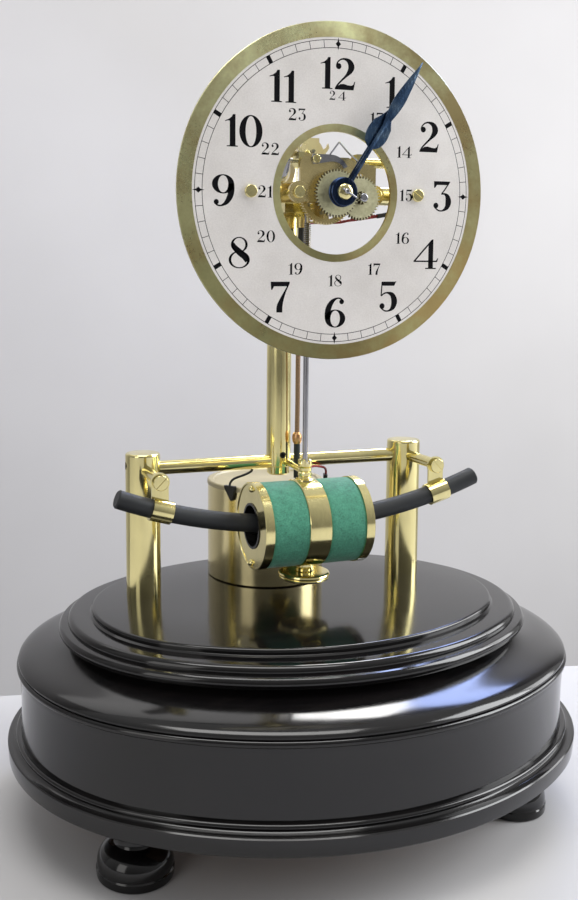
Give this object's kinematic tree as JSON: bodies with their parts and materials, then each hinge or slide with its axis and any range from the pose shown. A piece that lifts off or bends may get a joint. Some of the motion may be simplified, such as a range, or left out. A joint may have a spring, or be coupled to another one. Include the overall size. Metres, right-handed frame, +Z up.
{
  "type": "electric table clock",
  "caption": "Battery-driven table clock: a hollow coil swings as a pendulum bob over a curved bar magnet and steps an open movement behind a ring dial, on an oval black plinth.",
  "frame": {"origin": "on the floor under the middle of the oval plinth", "axes": "+Z up, the dial faces -Y, +X to the right as seen from the front"},
  "size_m": [0.26, 0.2104, 0.334],
  "materials": {
    "ebonised_wood": "gloss black French polish",
    "bare_wood": "matt, unpolished",
    "polished_brass": "polished and lacquered",
    "movement_brass": "grained, lightly aged",
    "satin_brass": "satin, brushed",
    "lid_brass": "dull, brushed",
    "black_steel": "blackened",
    "magnet_steel": "matt dark oxide",
    "steel": "polished",
    "bright_wire": "bright nickel",
    "black_rubber": "matt",
    "red_wire": "silk covered",
    "brown_wire": "silk covered",
    "copper_strands": "frayed bare copper",
    "silvered_dial": "matt silvering",
    "blued_steel": "heat blued",
    "black_tube": "semi gloss ebonite",
    "green_paper": "matt paper wrap over the winding"
  },
  "bodies": {
    "stand": {"plinth_top": "ebonised_wood", "plinth_body": "ebonised_wood", "plinth_moulding": "ebonised_wood", "plinth_floor": "bare_wood", "feet": "ebonised_wood", "left_post": "polished_brass", "right_post": "polished_brass", "cross_rod": "polished_brass", "grub_screws": "black_steel", "column": "polished_brass", "steady_arm": "polished_brass", "magnet_arms": "polished_brass", "magnet_clips": "polished_brass", "slotted_screws": "polished_brass", "magnet": "magnet_steel", "battery_can": "satin_brass", "battery_lid": "lid_brass", "terminal_boots": "black_rubber", "earth_lead": "black_rubber", "red_leads": "red_wire", "lead_sleeves": "black_rubber", "lead_joint": "copper_strands", "main_lead": "brown_wire", "movement_yoke": "polished_brass", "suspension_cock": "polished_brass", "suspension_saddle": "steel", "dial_bar": "polished_brass", "bar_pillars": "polished_brass", "front_plate": "movement_brass", "back_plate": "movement_brass", "worm_bearings": "polished_brass", "leaf_springs": "steel", "steel_studs": "steel", "terminal_post": "movement_brass", "dial_plate": "satin_brass", "chapter_ring": "silvered_dial"},
    "pendulum": {"pendulum_rod": "steel", "rod_spring": "bright_wire", "contact_pin": "bright_wire", "bob_nuts": "polished_brass", "coil_tube": "black_tube", "end_flanges": "polished_brass", "coil_windings": "green_paper", "centre_band": "polished_brass", "flange_screws": "polished_brass", "rating_stem": "polished_brass"},
    "rating_disc": {"rating_nut": "polished_brass"},
    "lever": {"contact_lever": "movement_brass"},
    "pawl_arm": {"pawl": "steel"},
    "count_train": {"worm_arbor": "steel", "count_wheel": "steel"},
    "worm_gear": {"worm_wheel": "movement_brass"},
    "minute_work": {"centre_arbor": "steel", "cannon_pinion": "movement_brass", "minute_hand": "blued_steel", "hand_collet": "polished_brass", "hand_pin": "steel"},
    "minute_gear": {"minute_wheel": "movement_brass"},
    "hour_work": {"hour_wheel": "movement_brass", "hour_hand": "blued_steel"}
  },
  "joints": [
    {"name": "pendulum_swing", "type": "hinge", "parent": "stand", "child": "pendulum", "pos_m": [0, -0.0115, 0.2875], "axis": [0, 1, 0], "range_deg": [-6, 6]},
    {"name": "rating_nut_turn", "type": "hinge", "parent": "pendulum", "child": "rating_disc", "pos_m": [0, -0.0115, 0.104], "axis": [0, 0, 1], "continuous": true},
    {"name": "contact_lever_rock", "type": "hinge", "parent": "stand", "child": "lever", "pos_m": [0, -0.0228, 0.2615], "axis": [0, 1, 0], "range_deg": [-2, 2]},
    {"name": "pawl_lift", "type": "hinge", "parent": "lever", "child": "pawl_arm", "pos_m": [-0.019, -0.0228, 0.2895], "axis": [1, 0, 0], "range_deg": [0, 25]},
    {"name": "count_wheel_turn", "type": "hinge", "parent": "stand", "child": "count_train", "pos_m": [0, -0.0301, 0.28146], "axis": [1, 0, 0], "continuous": true},
    {"name": "worm_wheel_turn", "type": "hinge", "parent": "stand", "child": "worm_gear", "pos_m": [0, -0.0301, 0.268], "axis": [0, 1, 0], "continuous": true},
    {"name": "minute_hand_turn", "type": "hinge", "parent": "stand", "child": "minute_work", "pos_m": [0, -0.04, 0.268], "axis": [0, 1, 0], "continuous": true},
    {"name": "minute_wheel_turn", "type": "hinge", "parent": "stand", "child": "minute_gear", "pos_m": [0.0112, -0.04, 0.26651], "axis": [0, 1, 0], "continuous": true},
    {"name": "hour_hand_turn", "type": "hinge", "parent": "stand", "child": "hour_work", "pos_m": [0, -0.04, 0.268], "axis": [0, 1, 0], "continuous": true}
  ],
  "couplings": [
    {"joint": "contact_lever_rock", "follows": "pendulum_swing", "ratio": -0.33333},
    {"joint": "worm_wheel_turn", "follows": "count_wheel_turn", "ratio": -0.016667},
    {"joint": "minute_wheel_turn", "follows": "minute_hand_turn", "ratio": -0.35},
    {"joint": "hour_hand_turn", "follows": "minute_hand_turn", "ratio": 0.083333}
  ]
}
